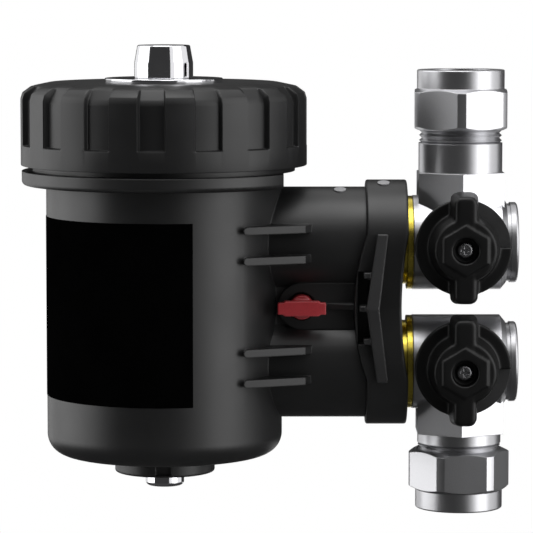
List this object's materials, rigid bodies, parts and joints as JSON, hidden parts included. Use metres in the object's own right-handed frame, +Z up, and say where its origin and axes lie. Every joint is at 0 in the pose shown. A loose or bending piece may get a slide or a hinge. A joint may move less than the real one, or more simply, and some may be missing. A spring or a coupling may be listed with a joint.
{
  "type": "magnetic system filter",
  "caption": "Heating-circuit magnetic filter: screw-lid canister with magnet unit, air vent, drain and bleed plugs, and twin angle ball valves for compression-fitted pipe.",
  "frame": {"origin": "centre of the mouth of the lower compression nut, on the pipe axis", "axes": "+Z up the pipe axis, out of the upper nut's mouth; the canister stands at -X and the valve handles face -Y"},
  "size_m": [0.1787, 0.103, 0.1676],
  "materials": {
    "canister_plastic": "satin",
    "lid_plastic": "satin",
    "handle_plastic": "satin",
    "clip_plastic": "satin",
    "label_film": "gloss",
    "pip_plastic": "satin",
    "red_plastic": "satin",
    "chrome": "polished",
    "nickel_plate": "satin",
    "yellow_brass": "machined",
    "steel": "bright",
    "magnet_coating": "plated",
    "seal_rubber": "matt",
    "white_seal": "satin"
  },
  "bodies": {
    "canister": {"canister_body": "canister_plastic", "label": "label_film", "port_flange": "canister_plastic", "marker_pips": "pip_plastic", "upper_spigot": "yellow_brass", "upper_spigot_seals": "seal_rubber", "upper_valve_body": "nickel_plate", "upper_ball_seats": "white_seal", "upper_end_plug": "nickel_plate", "upper_stem_packing": "white_seal", "upper_gland_ring": "yellow_brass", "upper_stop_plate": "handle_plastic", "lower_spigot": "yellow_brass", "lower_spigot_seals": "seal_rubber", "lower_valve_body": "nickel_plate", "lower_ball_seats": "white_seal", "lower_end_plug": "nickel_plate", "lower_stem_packing": "white_seal", "lower_gland_ring": "yellow_brass", "lower_stop_plate": "handle_plastic"},
    "magnet_unit": {"magnet_hanger": "canister_plastic", "magnet_sheath": "canister_plastic", "magnets": "magnet_coating", "pole_pieces": "steel", "magnet_rod": "steel", "magnet_rod_nut": "steel"},
    "lid": {"lid": "lid_plastic", "lid_oring": "seal_rubber", "vent_body": "chrome", "vent_nut": "yellow_brass"},
    "vent_knob": {"vent_knob": "chrome", "vent_seal": "seal_rubber"},
    "drain_plug": {"drain_plug": "chrome", "drain_washer": "seal_rubber"},
    "bleed_plug": {"bleed_plug": "red_plastic", "bleed_seal": "seal_rubber"},
    "retaining_clip": {"retaining_clip": "clip_plastic"},
    "upper_handle": {"upper_handle": "handle_plastic", "upper_handle_screw": "steel", "upper_stem": "yellow_brass", "upper_ball": "chrome"},
    "lower_handle": {"lower_handle": "handle_plastic", "lower_handle_screw": "steel", "lower_stem": "yellow_brass", "lower_ball": "chrome"},
    "upper_olive": {"upper_olive": "yellow_brass"},
    "upper_nut": {"upper_compression_nut": "nickel_plate"},
    "lower_olive": {"lower_olive": "yellow_brass"},
    "lower_nut": {"lower_compression_nut": "nickel_plate"}
  },
  "joints": [
    {"name": "lid_rise", "type": "slide", "parent": "canister", "child": "magnet_unit", "axis": [0, 0, 1], "range_m": [0, 0.00901]},
    {"name": "lid_turn", "type": "hinge", "parent": "magnet_unit", "child": "lid", "pos_m": [-0.1068, 0, 0.13], "axis": [0, 0, 1], "range_deg": [0, 1080]},
    {"name": "vent_turn", "type": "hinge", "parent": "lid", "child": "vent_knob", "pos_m": [-0.1068, 0, 0.16], "axis": [0, 0, 1], "range_deg": [0, 360]},
    {"name": "drain_turn", "type": "hinge", "parent": "canister", "child": "drain_plug", "pos_m": [-0.1068, 0, 0.0105], "axis": [0, 0, -1], "range_deg": [0, 360]},
    {"name": "bleed_turn", "type": "hinge", "parent": "canister", "child": "bleed_plug", "pos_m": [-0.05735, -0.012, 0.07485], "axis": [0, -1, 0], "range_deg": [0, 360]},
    {"name": "upper_nut_rise", "type": "slide", "parent": "canister", "child": "upper_olive", "axis": [0, 0, 1], "range_m": [0, 0.00541]},
    {"name": "upper_nut_turn", "type": "hinge", "parent": "upper_olive", "child": "upper_nut", "pos_m": [0, 0, 0.1588], "axis": [0, 0, 1], "range_deg": [0, 1080]},
    {"name": "lower_nut_drop", "type": "slide", "parent": "canister", "child": "lower_olive", "axis": [0, 0, -1], "range_m": [0, 0.00541]},
    {"name": "lower_nut_turn", "type": "hinge", "parent": "lower_olive", "child": "lower_nut", "pos_m": [0, 0, 0], "axis": [0, 0, -1], "range_deg": [0, 1080]},
    {"name": "clip_pull", "type": "slide", "parent": "canister", "child": "retaining_clip", "axis": [0, -1, 0], "range_m": [0, 0.022]},
    {"name": "upper_valve_turn", "type": "hinge", "parent": "canister", "child": "upper_handle", "pos_m": [0, -0.02, 0.0965], "axis": [0, 1, 0], "range_deg": [0, 90]},
    {"name": "lower_valve_turn", "type": "hinge", "parent": "canister", "child": "lower_handle", "pos_m": [0, -0.02, 0.0532], "axis": [0, -1, 0], "range_deg": [0, 90]}
  ],
  "couplings": [
    {"joint": "lid_rise", "follows": "lid_turn", "m_per_rad": 0.00047746},
    {"joint": "upper_nut_rise", "follows": "upper_nut_turn", "m_per_rad": 0.00028648},
    {"joint": "lower_nut_drop", "follows": "lower_nut_turn", "m_per_rad": 0.00028648}
  ]
}
